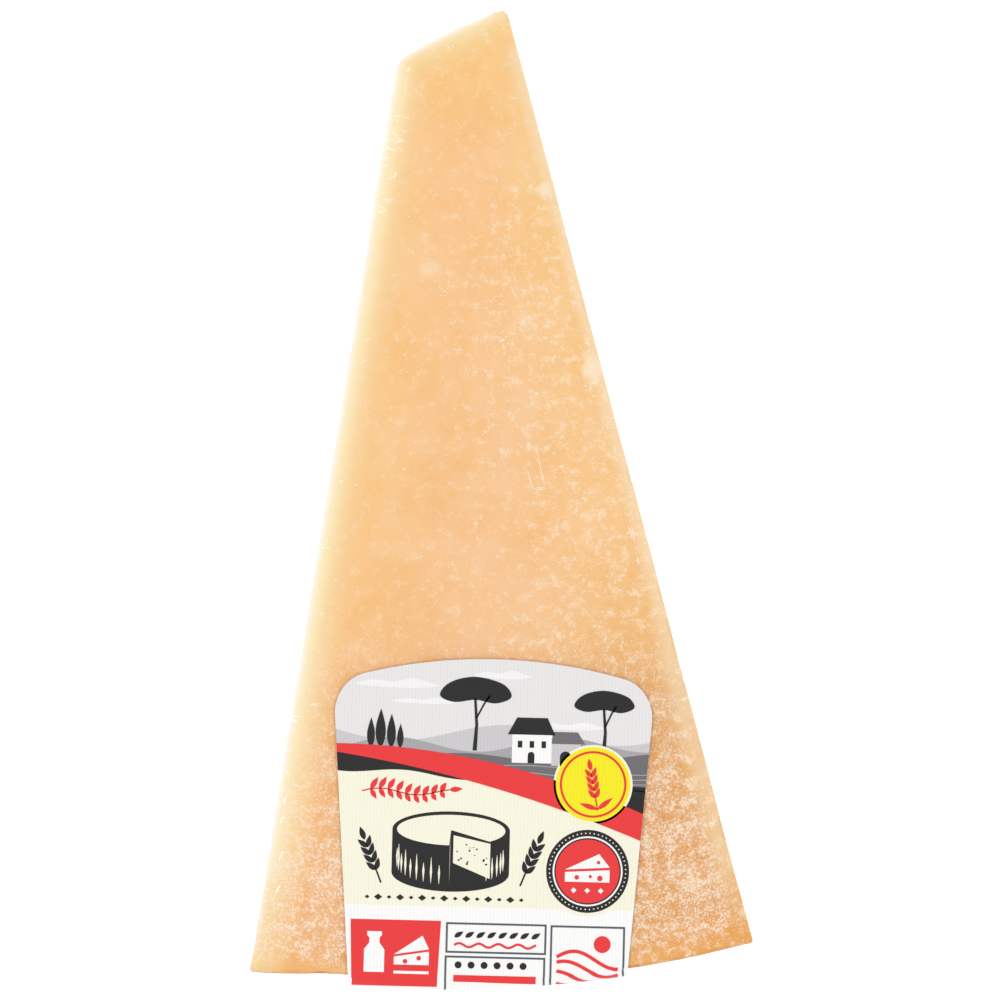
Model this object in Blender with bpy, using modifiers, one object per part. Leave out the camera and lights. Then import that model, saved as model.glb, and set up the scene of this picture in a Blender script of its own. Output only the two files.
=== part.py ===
# A chunk of parmesan: one fifteenth of a disc cut from a wheel, with its tip cut off, in close-fitting
# clear film, and a paper label that folds over the edge onto the rind. It lies on its back face.
# Run with: blender --background --python part.py

import math

import bmesh
import bpy
from mathutils import Matrix, Vector

MM = 0.001

# The cheese. Distances are from the centre of the wheel, which is where the two side cuts would meet.
WHEEL_RADIUS = 215 * MM
SLICE_ANGLE = math.radians(24)
THICKNESS = 36 * MM
TIP_ON_LEFT = 53.5 * MM  # where the tip's cut crosses each side cut
TIP_ON_RIGHT = 44.8 * MM
TIP_BOW = 0.6 * MM  # the tip's cut is slightly convex
RIND_BULGE = 0.6 * MM  # the side of a wheel swells a little between its two flat faces
RIND_WAVE = 0.7 * MM  # the rind runs out by this at its left end, and in by this a little further on
RIND_WAVE_LENGTH = math.radians(9.1)

# How far each wall stands out from the nominal slice.
# The front edge is worn rounder at the left cut and the tip.
WALL_OFFSETS = {"rind": 0.0, "right": 0.35 * MM, "tip": 1.35 * MM, "left": -0.05 * MM}
FRONT_ROUNDING = {"rind": 1.1 * MM, "right": 0.6 * MM, "tip": 3.6 * MM, "left": 3.6 * MM}
BACK_ROUNDING = 0.9 * MM
# In the plan, after the rind, the right wall, the tip and the left wall.
CORNER_RADII = (0.8 * MM, 1.7 * MM, 4.3 * MM, 0.8 * MM)
CORNER_ROUNDING_SHARE = 0.85  # the most an edge is rounded on a corner, as a share of the corner's radius
CORNER_ROUNDING_RISE = 0.7  # how fast it grows to the wall's own rounding, per unit of length
CORNER_STEPS = 5
WALL_STEPS = {"rind": 26, "right": 12, "tip": 12, "left": 12}
ROUNDING_STEPS = 4
WALL_LEVELS = 5

# The label, laid out flat: s runs to its right, and t up from where its middle crosses the rind's edge.
LABEL_FOOT_ANGLE = math.radians(-0.7)  # of that crossing, seen from the wheel's centre
LABEL_TURN = math.radians(4.2)  # clockwise, from the middle line of the wedge
LABEL_HEIGHT = 57.4 * MM
LABEL_TAIL = 31 * MM  # the stretch that lies on the rind
LABEL_HALF_WIDTH = 24.6 * MM  # at the rind's edge
LABEL_FLARE = 0.0735  # how much each side moves out per unit of height
LABEL_TOP_RISE = 4.6 * MM  # of the curved top edge
LABEL_TOP_CORNER = 7.5 * MM
LABEL_TAIL_CORNER = 4.0 * MM
LABEL_TOP_STEPS = 14
LABEL_CORNER_STEPS = 6
LABEL_THICKNESS = 0.3 * MM
LABEL_GAP = 0.3 * MM
LABEL_STAND_OFF = 0.75 * MM  # further out from the rind, where the sheet folds over its edge
LABEL_FOLD_REACH = 5.5 * MM  # to either side of the edge the sheet is cut finely enough to fold
LABEL_FOLD_CUT = 0.5 * MM
LABEL_RIND_CUT = 4.0 * MM

COLORS = {"cheese": (0.86, 0.55, 0.27), "label": (0.86, 0.82, 0.66)}


def clear_scene():
    for old in list(bpy.data.objects):
        bpy.data.objects.remove(old, do_unlink=True)


def make_material(name, roughness):
    material = bpy.data.materials.new(name)
    material.use_nodes = True
    shader = material.node_tree.nodes["Principled BSDF"]
    shader.inputs["Base Color"].default_value = (*COLORS[name], 1.0)
    shader.inputs["Roughness"].default_value = roughness
    shader.inputs["Metallic"].default_value = 0.0
    material.diffuse_color = (*COLORS[name], 1.0)
    return material


def add_object(name, mesh, material, parent, collection):
    mesh.materials.append(material)
    thing = bpy.data.objects.new(name, mesh)
    thing.parent = parent
    collection.objects.link(thing)
    return thing


def polar(radius, angle):
    """A point in the plan, this far from the wheel's centre. Angle 0 is the middle of the rind."""
    return Vector((radius * math.sin(angle), -radius * math.cos(angle)))


def lines_meet(point_a, direction_a, point_b, direction_b):
    apart = point_b - point_a
    cross = direction_a.x * direction_b.y - direction_a.y * direction_b.x
    return point_a + direction_a * (apart.x * direction_b.y - apart.y * direction_b.x) / cross


def outward(direction):
    """The right-hand normal, which points out of an outline that runs anticlockwise."""
    return Vector((direction.y, -direction.x)).normalized()


def bowed_line(start, end, rise, steps):
    """Points from start to end on an arc that stands out by rise at its middle."""
    along = end - start
    if abs(rise) < 1e-9:
        return [start + along * step / steps for step in range(steps + 1)]
    radius = along.length ** 2 / (8 * rise) + rise / 2
    half = math.asin(along.length / (2 * radius))
    middle = (start + end) / 2 + outward(along) * (rise - radius)
    spoke = start - middle
    turns = [Matrix.Rotation(2 * half * step / steps, 2) for step in range(steps + 1)]
    return [middle + turn @ spoke for turn in turns]


def rounded_corner(corner, before, after, radius, steps):
    """The arc that rounds a corner which has these points before and after it."""
    back, on = (before - corner).normalized(), (after - corner).normalized()
    half = math.acos(max(-1.0, min(1.0, back.dot(on)))) / 2
    setback = radius / math.tan(half)
    middle = corner + (back + on).normalized() * radius / math.sin(half)
    spoke = corner + back * setback - middle
    sweep = math.pi - 2 * half
    turns = [Matrix.Rotation(sweep * step / steps, 2) for step in range(steps + 1)]
    return [middle + turn @ spoke for turn in turns]


def join_walls(walls, radii, corner_steps):
    """One closed outline, anticlockwise, from open walls that meet at sharp corners.
    Returns its points, and for each point its wall or, on a corner, None and the corner's radius."""
    outline = []
    count = len(walls)
    for index, wall in enumerate(walls):
        following = walls[(index + 1) % count]
        start_cut = radii[index - 1] / math.tan(corner_half_angle(walls[index - 1], wall))
        end_cut = radii[index] / math.tan(corner_half_angle(wall, following))
        for point in trimmed(wall, start_cut, end_cut):
            outline.append((point, index, None))
        corner = rounded_corner(wall[-1], wall[-2], following[1], radii[index], corner_steps)
        outline += [(point, index, radii[index]) for point in corner[1:-1]]
    return outline


def corner_half_angle(wall, following):
    back = (wall[-2] - wall[-1]).normalized()
    on = (following[1] - following[0]).normalized()
    return math.acos(max(-1.0, min(1.0, back.dot(on)))) / 2


def trimmed(wall, start_cut, end_cut):
    """The wall's points, with its two ends moved inwards by these lengths and the rest spread between."""
    lengths = [0.0]
    for first, second in zip(wall, wall[1:]):
        lengths.append(lengths[-1] + (second - first).length)
    kept = []
    for step in range(len(wall)):
        share = step / (len(wall) - 1)
        at = start_cut + (lengths[-1] - start_cut - end_cut) * share
        upper = next(i for i in range(1, len(wall)) if lengths[i] >= at - 1e-12)
        part = (at - lengths[upper - 1]) / (lengths[upper] - lengths[upper - 1])
        kept.append(wall[upper - 1].lerp(wall[upper], part))
    return kept


def wedge_outline():
    """The wedge's plan, starting at the rind's left end."""
    offsets = WALL_OFFSETS
    half = SLICE_ANGLE / 2
    down_left, down_right = polar(1, -half), polar(1, half)
    left_start = polar(TIP_ON_LEFT, -half) + outward(down_left) * offsets["left"]
    right_start = polar(TIP_ON_RIGHT, half) - outward(down_right) * offsets["right"]
    tip_line = polar(TIP_ON_LEFT, -half) - polar(TIP_ON_RIGHT, half)
    tip_start = polar(TIP_ON_RIGHT, half) + outward(tip_line) * offsets["tip"]
    tip_left = lines_meet(tip_start, tip_line, left_start, down_left)
    tip_right = lines_meet(tip_start, tip_line, right_start, down_right)
    radius = WHEEL_RADIUS + offsets["rind"]
    rind_left = circle_meet(left_start, down_left, radius + RIND_WAVE)
    rind_right = circle_meet(right_start, down_right, radius)
    first = math.atan2(rind_left.x, -rind_left.y)
    last = math.atan2(rind_right.x, -rind_right.y)
    steps = WALL_STEPS["rind"]
    turns = [(last - first) * step / steps for step in range(steps + 1)]
    rind = [polar(radius + rind_wave(turn), first + turn) for turn in turns]
    right = bowed_line(rind_right, tip_right, 0.0, WALL_STEPS["right"])
    tip = bowed_line(tip_right, tip_left, TIP_BOW, WALL_STEPS["tip"])
    left = bowed_line(tip_left, rind_left, 0.0, WALL_STEPS["left"])
    return join_walls([rind, right, tip, left], CORNER_RADII, CORNER_STEPS)


def rind_wave(turn):
    """How far the rind runs out of round, at this angle on from its left end."""
    share = turn / RIND_WAVE_LENGTH
    if share >= 1:
        return 0.0
    wave = RIND_WAVE * math.cos(2 * math.pi * share)
    return wave if share < 0.5 else (wave - RIND_WAVE) / 2


def circle_meet(start, direction, radius):
    """Where a line from start runs out of the circle about the wheel's centre."""
    across = start.dot(direction)
    return start + direction * (math.sqrt(across ** 2 - start.length_squared + radius ** 2) - across)


def roundings(outline):
    """The rounding of the front edge at each point: the wall's own, less towards a tight corner."""
    own = list(FRONT_ROUNDING.values())
    corners = [
        (point, min(radius * CORNER_ROUNDING_SHARE, own[wall], own[(wall + 1) % len(own)]))
        for point, wall, radius in outline
        if radius
    ]
    found = []
    for point, wall, _ in outline:
        limits = [limit + (point - corner).length * CORNER_ROUNDING_RISE for corner, limit in corners]
        found.append(min(limits + [own[wall]]))
    return found


def inward_normals(points):
    """The direction inwards at each point of a closed outline, fair to steps of unlike length."""
    found = []
    for i, point in enumerate(points):
        after, before = points[(i + 1) % len(points)] - point, point - points[i - 1]
        ratio = before.length / after.length
        found.append(-outward(after * ratio + before / ratio))
    return found


def wall_ring(outline, share):
    """The outline at this share of the way from the back face to the front, with the rind's swell."""
    swell = RIND_BULGE * 4 * share * (1 - share)
    return [point * (1 + swell / WHEEL_RADIUS) if wall == 0 else point for point, wall, _ in outline]


def add_ring(bm, points, insets, heights):
    """A ring of vertices from plan points, each moved inwards by its inset and up to its height."""
    moved = [p + n * d for p, n, d in zip(points, inward_normals(points), insets)]
    verts = [bm.verts.new((p.x, p.y, z)) for p, z in zip(moved, heights)]
    return [bm.edges.new((verts[i - 1], verts[i])) for i in range(len(verts))], verts


def build_cheese_mesh():
    outline = wedge_outline()
    front_radii = roundings(outline)
    back_radii = [min(BACK_ROUNDING, radius) for radius in front_radii]
    bm = bmesh.new()
    rings = []
    for step in range(ROUNDING_STEPS + 1):  # up round the back edge
        turn = math.pi / 2 * step / ROUNDING_STEPS
        insets = [radius * (1 - math.sin(turn)) for radius in back_radii]
        heights = [radius * (1 - math.cos(turn)) for radius in back_radii]
        rings.append(add_ring(bm, wall_ring(outline, 0.0), insets, heights))
    for level in range(1, WALL_LEVELS):  # up the walls
        share = level / WALL_LEVELS
        flat = [0.0] * len(outline)
        radii = zip(back_radii, front_radii)
        heights = [lower + (THICKNESS - upper - lower) * share for lower, upper in radii]
        rings.append(add_ring(bm, wall_ring(outline, share), flat, heights))
    for step in range(ROUNDING_STEPS + 1):  # and round the front edge
        turn = math.pi / 2 * step / ROUNDING_STEPS
        insets = [radius * (1 - math.cos(turn)) for radius in front_radii]
        heights = [THICKNESS - radius * (1 - math.sin(turn)) for radius in front_radii]
        rings.append(add_ring(bm, wall_ring(outline, 1.0), insets, heights))
    for (lower, _), (upper, _) in zip(rings, rings[1:]):
        bmesh.ops.bridge_loops(bm, edges=lower + upper)
    bm.faces.new(rings[0][1])
    bm.faces.new(rings[-1][1])
    bmesh.ops.recalc_face_normals(bm, faces=bm.faces)
    mesh = bpy.data.meshes.new("cheese")
    bm.to_mesh(mesh)
    bm.free()
    mesh.shade_smooth()
    mesh.set_sharp_from_angle(angle=math.radians(40))
    return mesh


def label_outline():
    """The flat label's outline in (s, t), anticlockwise from its tail's left corner."""
    tail = LABEL_HALF_WIDTH - LABEL_TAIL * LABEL_FLARE
    shoulder = LABEL_HEIGHT - LABEL_TOP_RISE
    top = LABEL_HALF_WIDTH + shoulder * LABEL_FLARE
    tail_left, tail_right = Vector((-tail, -LABEL_TAIL)), Vector((tail, -LABEL_TAIL))
    top_left, top_right = Vector((-top, shoulder)), Vector((top, shoulder))
    walls = [
        bowed_line(tail_left, tail_right, 0.0, 1),
        bowed_line(tail_right, top_right, 0.0, 1),
        bowed_line(top_right, top_left, LABEL_TOP_RISE, LABEL_TOP_STEPS),
        bowed_line(top_left, tail_left, 0.0, 1),
    ]
    radii = [LABEL_TAIL_CORNER, LABEL_TOP_CORNER, LABEL_TOP_CORNER, LABEL_TAIL_CORNER]
    return [point for point, _, _ in join_walls(walls, radii, LABEL_CORNER_STEPS)]


def cut_across(bm, point, normal):
    everything = bm.verts[:] + bm.edges[:] + bm.faces[:]
    bmesh.ops.bisect_plane(bm, geom=everything, plane_co=point, plane_no=normal, dist=1e-7)


def steps_between(low, high, spacing):
    count = max(1, round((high - low) / spacing))
    return [low + (high - low) * step / count for step in range(count + 1)]


def fold_point(flat, height):
    """A point of the flat label, height above the cheese, laid on the front face and folded down the rind."""
    foot = polar(WHEEL_RADIUS, LABEL_FOOT_ANGLE)
    turned = Matrix.Rotation(-LABEL_TURN, 2) @ flat
    plan = foot + turned
    bend = FRONT_ROUNDING["rind"]
    flat_reach = WHEEL_RADIUS + LABEL_STAND_OFF - bend
    radius = plan.length
    angle = math.atan2(plan.x, -plan.y)
    past = radius - flat_reach
    if past <= 0:
        return Vector((plan.x, plan.y, THICKNESS + height))
    # Past the edge, lengths along the rind stay what they are on the flat sheet.
    angle = LABEL_FOOT_ANGLE + (angle - LABEL_FOOT_ANGLE) * radius / (WHEEL_RADIUS + LABEL_STAND_OFF)
    turn = min(past / bend, math.pi / 2)
    drop = max(0.0, past - bend * math.pi / 2)
    z = THICKNESS - bend + (bend + height) * math.cos(turn) - drop
    share = min(1.0, max(0.0, z / THICKNESS))
    swell = RIND_BULGE * 4 * share * (1 - share)
    ring = polar(flat_reach + (bend + height) * math.sin(turn) + swell, angle)
    return Vector((ring.x, ring.y, z))


def build_label_mesh():
    bm = bmesh.new()
    bm.faces.new([bm.verts.new((point.x, point.y, 0.0)) for point in label_outline()])
    for t in steps_between(-LABEL_FOLD_REACH, LABEL_FOLD_REACH, LABEL_FOLD_CUT):
        cut_across(bm, (0, t, 0), (0, 1, 0))
    for t in steps_between(-LABEL_TAIL, -LABEL_FOLD_REACH, LABEL_RIND_CUT)[1:-1]:
        cut_across(bm, (0, t, 0), (0, 1, 0))
    for s in steps_between(-LABEL_HALF_WIDTH, LABEL_HALF_WIDTH, LABEL_RIND_CUT):
        cut_across(bm, (s, 0, 0), (1, 0, 0))
    for vert in bm.verts:
        vert.co = fold_point(vert.co.xy, LABEL_GAP)
    bmesh.ops.recalc_face_normals(bm, faces=bm.faces)
    mesh = bpy.data.meshes.new("label")
    bm.to_mesh(mesh)
    bm.free()
    mesh.shade_smooth()
    return mesh


def add_thickness(thing):
    solidify = thing.modifiers.new("paper", "SOLIDIFY")
    solidify.thickness = LABEL_THICKNESS
    solidify.offset = 1.0
    solidify.use_even_offset = True
    return solidify


def centre_on_base(origin, things):
    """Moves the wheel's centre so that the object's box stands centred on the world's origin."""
    bpy.context.view_layer.update()
    graph = bpy.context.evaluated_depsgraph_get()
    corners = []
    for thing in things:
        evaluated = thing.evaluated_get(graph)
        corners += [evaluated.matrix_world @ Vector(corner) for corner in evaluated.bound_box]
    low = Vector([min(corner[axis] for corner in corners) for axis in range(3)])
    high = Vector([max(corner[axis] for corner in corners) for axis in range(3)])
    origin.location = (-(low.x + high.x) / 2, -(low.y + high.y) / 2, -low.z)


def main():
    clear_scene()
    collection = bpy.data.collections.new("parmesan_chunk")
    bpy.context.scene.collection.children.link(collection)
    wheel_centre = bpy.data.objects.new("wheel_centre", None)
    collection.objects.link(wheel_centre)
    paste = make_material("cheese", 0.45)
    cheese = add_object("cheese", build_cheese_mesh(), paste, wheel_centre, collection)
    label = add_object("label", build_label_mesh(), make_material("label", 0.5), wheel_centre, collection)
    add_thickness(label)
    centre_on_base(wheel_centre, [cheese, label])
    bpy.context.view_layer.update()


main()
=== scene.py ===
# A chunk of parmesan in clear film with a printed paper label, lying on its back.
# Sizes are in millimetres from the wheel's centre, and become metres as each mesh is made.

import math
import random

import bmesh
import bpy
import numpy as np
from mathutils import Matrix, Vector, geometry, noise
from mathutils.bvhtree import BVHTree


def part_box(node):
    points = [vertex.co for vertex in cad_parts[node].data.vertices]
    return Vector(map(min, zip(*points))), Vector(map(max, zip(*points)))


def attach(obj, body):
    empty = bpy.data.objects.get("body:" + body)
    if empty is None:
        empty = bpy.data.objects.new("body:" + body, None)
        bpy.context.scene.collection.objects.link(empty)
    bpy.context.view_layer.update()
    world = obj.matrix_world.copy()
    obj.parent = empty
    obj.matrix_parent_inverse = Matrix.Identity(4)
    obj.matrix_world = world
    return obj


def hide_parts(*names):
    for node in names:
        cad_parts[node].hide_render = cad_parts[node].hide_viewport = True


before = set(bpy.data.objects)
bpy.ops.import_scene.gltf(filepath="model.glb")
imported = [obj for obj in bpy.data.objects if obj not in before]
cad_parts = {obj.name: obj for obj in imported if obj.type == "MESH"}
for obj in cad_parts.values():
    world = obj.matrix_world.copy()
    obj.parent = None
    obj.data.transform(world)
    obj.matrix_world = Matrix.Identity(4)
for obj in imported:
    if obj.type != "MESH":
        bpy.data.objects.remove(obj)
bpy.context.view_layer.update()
mm = 0.001

wedge = {
    "wheelRadius": 215.0,
    "sliceAngle": math.radians(24),
    "thickness": 36.0,
    "tipOnLeft": 53.5,
    "tipOnRight": 44.8,
    "tipBow": 0.6,
    "rindBulge": 0.6,
    "rindWave": 0.7,
    "rindWaveLength": math.radians(9.1),
    # how far each wall stands out: rind, right, tip, left
    "out": (0.0, 0.35, 1.35, -0.05),
    "frontRounding": (1.1, 0.6, 3.6, 3.6),
    "backRounding": 0.9,
    "corners": (0.8, 1.7, 4.3, 0.8),  # after each wall
    # the rounding at a corner, as a share of the corner's radius, and how fast it grows away from there
    "cornerShare": 0.85,
    "cornerRise": 0.7,
}


def polar(radius, angle):
    return np.array([radius * math.sin(angle), -radius * math.cos(angle)])


def unit(vector):
    return vector / np.linalg.norm(vector)


def outward(direction):
    return unit(np.array([direction[1], -direction[0]]))


def crossing(start, along, other, otherAlong):
    apart = other - start
    turn = along[0] * otherAlong[1] - along[1] * otherAlong[0]
    return start + along * (apart[0] * otherAlong[1] - apart[1] * otherAlong[0]) / turn


def rimPoint(start, along, radius):
    across = start @ along
    return start + along * (math.sqrt(across**2 - start @ start + radius**2) - across)


# How far the rind runs out of round, at this angle on from its left end.
def rindWave(turn):
    share = min(turn / wedge["rindWaveLength"], 1.0)
    wave = wedge["rindWave"] * math.cos(2 * math.pi * share)
    return wave if share < 0.5 else (wave - wedge["rindWave"]) / 2


def rotated(x, y, angle):
    return x * math.cos(angle) - y * math.sin(angle), x * math.sin(angle) + y * math.cos(angle)


def arcPoints(middle, spoke, sweep, count):
    return middle + np.array([rotated(*spoke, angle) for angle in np.linspace(0, sweep, count)])


def bowed(start, end, rise, count=160):
    along = end - start
    if abs(rise) < 1e-6:
        return start + np.linspace(0, 1, count)[:, None] * along
    length = np.linalg.norm(along)
    radius = length**2 / (8 * rise) + rise / 2
    middle = (start + end) / 2 + outward(along) * (rise - radius)
    return arcPoints(middle, start - middle, 2 * math.asin(length / (2 * radius)), count)


def spread(points, stops):
    lengths = np.concatenate([[0], np.cumsum(np.linalg.norm(np.diff(points, axis=0), axis=1))])
    return np.stack([np.interp(stops, lengths, points[:, axis]) for axis in (0, 1)], axis=1), lengths[-1]


# A rounded corner that leaves one wall and joins the next in their own directions.
def cornerArc(wall, following, radius, count=81):
    corner = wall[-1]
    back, on = unit(wall[-2] - corner), unit(following[1] - corner)
    half = math.acos(np.clip(back @ on, -1, 1)) / 2
    cut = radius / math.tan(half)
    total = spread(wall, [0])[1]
    before, start = spread(wall, [total - cut - 0.05, total - cut])[0]
    end, after = spread(following, [cut, cut + 0.05])[0]
    handle = 4 / 3 * math.tan((math.pi - 2 * half) / 4) * radius
    first, second = start + unit(start - before) * handle, end + unit(end - after) * handle
    f = np.linspace(0, 1, count)[:, None]
    return cut, (1 - f) ** 3 * start + 3 * f * (1 - f) ** 2 * first + 3 * f**2 * (1 - f) * second + f**3 * end


def trimmed(wall, startCut, endCut):
    total = spread(wall, [0])[1]
    return spread(wall, np.linspace(startCut, total - endCut, len(wall)))[0]


# Four sides, each from the middle of one rounded corner to the middle of the next.
def roundedSides(walls, radii):
    arcs = [cornerArc(walls[k], walls[(k + 1) % 4], radii[k]) for k in range(4)]
    sides = []
    for k, wall in enumerate(walls):
        (startCut, before), (endCut, after) = arcs[k - 1], arcs[k]
        half = len(before) // 2
        sides.append(np.vstack([before[half:-1], trimmed(wall, startCut, endCut), after[1 : half + 1]]))
    return sides, [arc[1] for arc in arcs]


# Draws even shares of a stretch closer together at its two ends.
def closerAtEnds(share):
    return share - 0.5 * np.sin(2 * math.pi * share) / (2 * math.pi)


# The directions of the left, right and tip cuts and the tip's two ends, before the walls stand out.
def cutLines():
    half = wedge["sliceAngle"] / 2
    leftTip, rightTip = polar(wedge["tipOnLeft"], -half), polar(wedge["tipOnRight"], half)
    return polar(1, -half), polar(1, half), leftTip - rightTip, leftTip, rightTip


def wedgePlan(across, along):
    out = wedge["out"]
    left, right, slant, leftTip, rightTip = cutLines()
    leftAt, rightAt = leftTip + outward(left) * out[3], rightTip - outward(right) * out[1]
    tipAt = rightTip + outward(slant) * out[2]
    tipLeft, tipRight = crossing(tipAt, slant, leftAt, left), crossing(tipAt, slant, rightAt, right)
    radius = wedge["wheelRadius"]
    rindLeft = rimPoint(leftAt, left, radius + wedge["rindWave"])
    rindRight = rimPoint(rightAt, right, radius)
    first, last = math.atan2(rindLeft[0], -rindLeft[1]), math.atan2(rindRight[0], -rindRight[1])
    walls = [
        np.array([polar(radius + rindWave(angle - first), angle) for angle in np.linspace(first, last, 240)]),
        bowed(rindRight, tipRight, 0),
        bowed(tipRight, tipLeft, wedge["tipBow"]),
        bowed(tipLeft, rindLeft, 0),
    ]
    sides, arcs = roundedSides(walls, wedge["corners"])
    plan = []
    for side, count in zip(sides, (across, along, across, along)):
        length = spread(side, [0])[1]
        plan.append(spread(side, closerAtEnds(np.arange(count) / count) * length)[0])
    return np.vstack(plan), arcs


def frontRoundings(plan, sideOf, arcs):
    own = wedge["frontRounding"]
    rounding = np.array(own)[sideOf]
    for k, (radius, arc) in enumerate(zip(wedge["corners"], arcs)):
        least = min(radius * wedge["cornerShare"], own[k], own[(k + 1) % 4])
        gap = np.linalg.norm(plan[:, None] - arc[None], axis=2).min(axis=1)
        rounding = np.minimum(rounding, least + gap * wedge["cornerRise"])
    return rounding


def planNormals(plan):
    after, before = np.roll(plan, -1, axis=0) - plan, plan - np.roll(plan, 1, axis=0)
    ratio = (np.linalg.norm(before, axis=1) / np.linalg.norm(after, axis=1))[:, None]
    step = after * ratio + before / ratio
    normals = np.stack([step[:, 1], -step[:, 0]], axis=1)
    return normals / np.linalg.norm(normals, axis=1)[:, None]


# Fills a ring of four sides with a grid of points between them.
def gridBetween(ring, across, along):
    closed = np.vstack([ring, ring[:1]])
    bottom = closed[: across + 1]
    right = closed[across : across + along + 1]
    top = closed[across + along : 2 * across + along + 1][::-1]
    left = closed[2 * across + along :][::-1]
    u = closerAtEnds(np.linspace(0, 1, across + 1))[:, None, None]
    v = closerAtEnds(np.linspace(0, 1, along + 1))[None, :, None]
    blend = (1 - v) * bottom[:, None] + v * top[:, None] + (1 - u) * left[None] + u * right[None]
    near, far = (1 - u) * bottom[0] + u * bottom[-1], (1 - u) * top[0] + u * top[-1]
    grid = blend - (1 - v) * near - v * far
    for _ in range(400):  # evens the grid out, so that nothing folds over near the corners
        grid[1:-1, 1:-1] = (grid[:-2, 1:-1] + grid[2:, 1:-1] + grid[1:-1, :-2] + grid[1:-1, 2:]) / 4
    return grid


# The wedge as rings of points from the back face up to the front face, with a grid over each face.
# Gives points, outward directions, faces and each point's side (4 on the front face, 5 on the back).
def wedgeBody(across, along, roundSteps, wallSteps):
    plan, arcs = wedgePlan(across, along)
    out = planNormals(plan)
    sideOf = np.repeat([0, 1, 2, 3], (across, along, across, along))
    upper = frontRoundings(plan, sideOf, arcs)
    lower = np.minimum(upper, wedge["backRounding"])
    tall = wedge["thickness"]
    count = 2 * (across + along)
    points, normals = [], []

    def addRing(inset, height, flat, rise, swell=0.0):
        swollen = plan * (1 + np.where(sideOf == 0, swell, 0) / wedge["wheelRadius"])[:, None]
        points.append(np.column_stack([swollen - out * inset[:, None], height]))
        normals.append(np.column_stack([out * flat, np.full(count, rise)]))

    turns = [(math.cos(turn), math.sin(turn)) for turn in np.linspace(0, math.pi / 2, roundSteps + 1)]
    for cos, sin in turns:
        addRing(lower * (1 - sin), lower * (1 - cos), sin, -cos)
    for share in np.arange(1, wallSteps) / wallSteps:
        swell = wedge["rindBulge"] * 4 * share * (1 - share)
        addRing(0 * upper, lower + (tall - upper - lower) * share, 1.0, 0.0, swell)
    for cos, sin in turns:
        addRing(upper * (1 - cos), tall - upper * (1 - sin), cos, sin)
    rings = len(points)
    sides = [sideOf] * rings
    faces = []
    index = np.arange(count)
    following = (index + 1) % count
    for k in range(rings - 1):
        faces.append(np.column_stack([index, following, following + count, index + count]) + k * count)
    start = count * rings
    for ring, first, rise in ((points[-1], count * (rings - 1), 1), (points[0], 0, -1)):
        grid = gridBetween(ring, across, along)
        inner = grid[1:-1, 1:-1].reshape(-1, 3)
        numbers = np.zeros((across + 1, along + 1), int)
        numbers[1:-1, 1:-1] = start + np.arange(len(inner)).reshape(across - 1, along - 1)
        numbers[:, 0] = first + np.arange(across + 1)
        numbers[across, :] = first + across + np.arange(along + 1)
        numbers[::-1, along] = first + across + along + np.arange(across + 1)
        numbers[0, ::-1] = first + (2 * across + along + np.arange(along + 1)) % count
        corners = (numbers[:-1, :-1], numbers[1:, :-1], numbers[1:, 1:], numbers[:-1, 1:])
        quads = np.stack(corners, axis=2).reshape(-1, 4)
        faces.append(quads if rise > 0 else quads[:, ::-1])
        points.append(inner)
        normals.append(np.tile([0.0, 0.0, rise], (len(inner), 1)))
        sides.append(np.full(len(inner), 4 if rise > 0 else 5))
        start += len(inner)
    return np.vstack(points), np.vstack(normals), np.vstack(faces), np.concatenate(sides)


# The wheel's centre is where the solid's box puts it.
wholePlan = wedgePlan(60, 60)[0]
solidLow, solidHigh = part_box("cheese")
wheelCentre = np.array(
    [
        (solidLow[0] + solidHigh[0]) / 2 / mm - (wholePlan[:, 0].min() + wholePlan[:, 0].max()) / 2,
        solidHigh[1] / mm - wholePlan[:, 1].max(),
        0.0,
    ]
)
print("wheel centre", wheelCentre.round(2))


def toWorld(points):
    return (np.asarray(points) + wheelCentre) * mm


def meshFrom(name, points, faces):
    mesh = bpy.data.meshes.new(name)
    mesh.from_pydata(toWorld(points).tolist(), [], faces.tolist())
    mesh.shade_smooth()
    return mesh


def addPiece(name, mesh, materials):
    piece = bpy.data.objects.new(name, mesh)
    bpy.context.scene.collection.objects.link(piece)
    mesh.materials.clear()
    for material in materials:
        mesh.materials.append(material)
    return piece


def floatOnPoints(mesh, name, values):
    mesh.attributes.new(name, "FLOAT", "POINT").data.foreach_set("value", np.asarray(values, np.float32))


def colorOnPoints(mesh, name, colors):
    full = np.column_stack([colors, np.ones(len(colors))]).astype(np.float32)
    mesh.attributes.new(name, "FLOAT_COLOR", "POINT").data.foreach_set("color", full.ravel())


def noiseAt(points, perMm, shift=0.0):
    return np.array([noise.noise(Vector(p)) for p in (points * perMm + shift).tolist()])


def smooth(values, low, high):
    share = np.clip((values - low) / (high - low), 0, 1)
    return share * share * (3 - 2 * share)


lightLevel = 1.04  # what plain white paper sends back in this light


def linear(rgb):
    share = np.asarray(rgb, float) / 255
    return np.where(share <= 0.04045, share / 12.92, ((share + 0.055) / 1.055) ** 2.4)


def color(r, g, b):
    return (*(linear((r, g, b)) / lightLevel), 1.0)


def colorAlong(stops, at):
    distances, colors = zip(*stops)
    return np.stack([np.interp(at, distances, channel) for channel in zip(*colors)], axis=1)


# Gives a node's inputs plain values, or links to other nodes' outputs.
def setInputs(tree, node, inputs):
    for name, value in inputs.items():
        if isinstance(value, bpy.types.NodeSocket):
            tree.links.new(value, node.inputs[name])
        else:
            node.inputs[name].default_value = value


def addNode(tree, kind, inputs=None, **settings):
    made = tree.nodes.new(kind)
    for name, value in settings.items():
        setattr(made, name, value)
    setInputs(tree, made, inputs or {})
    return made


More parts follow.
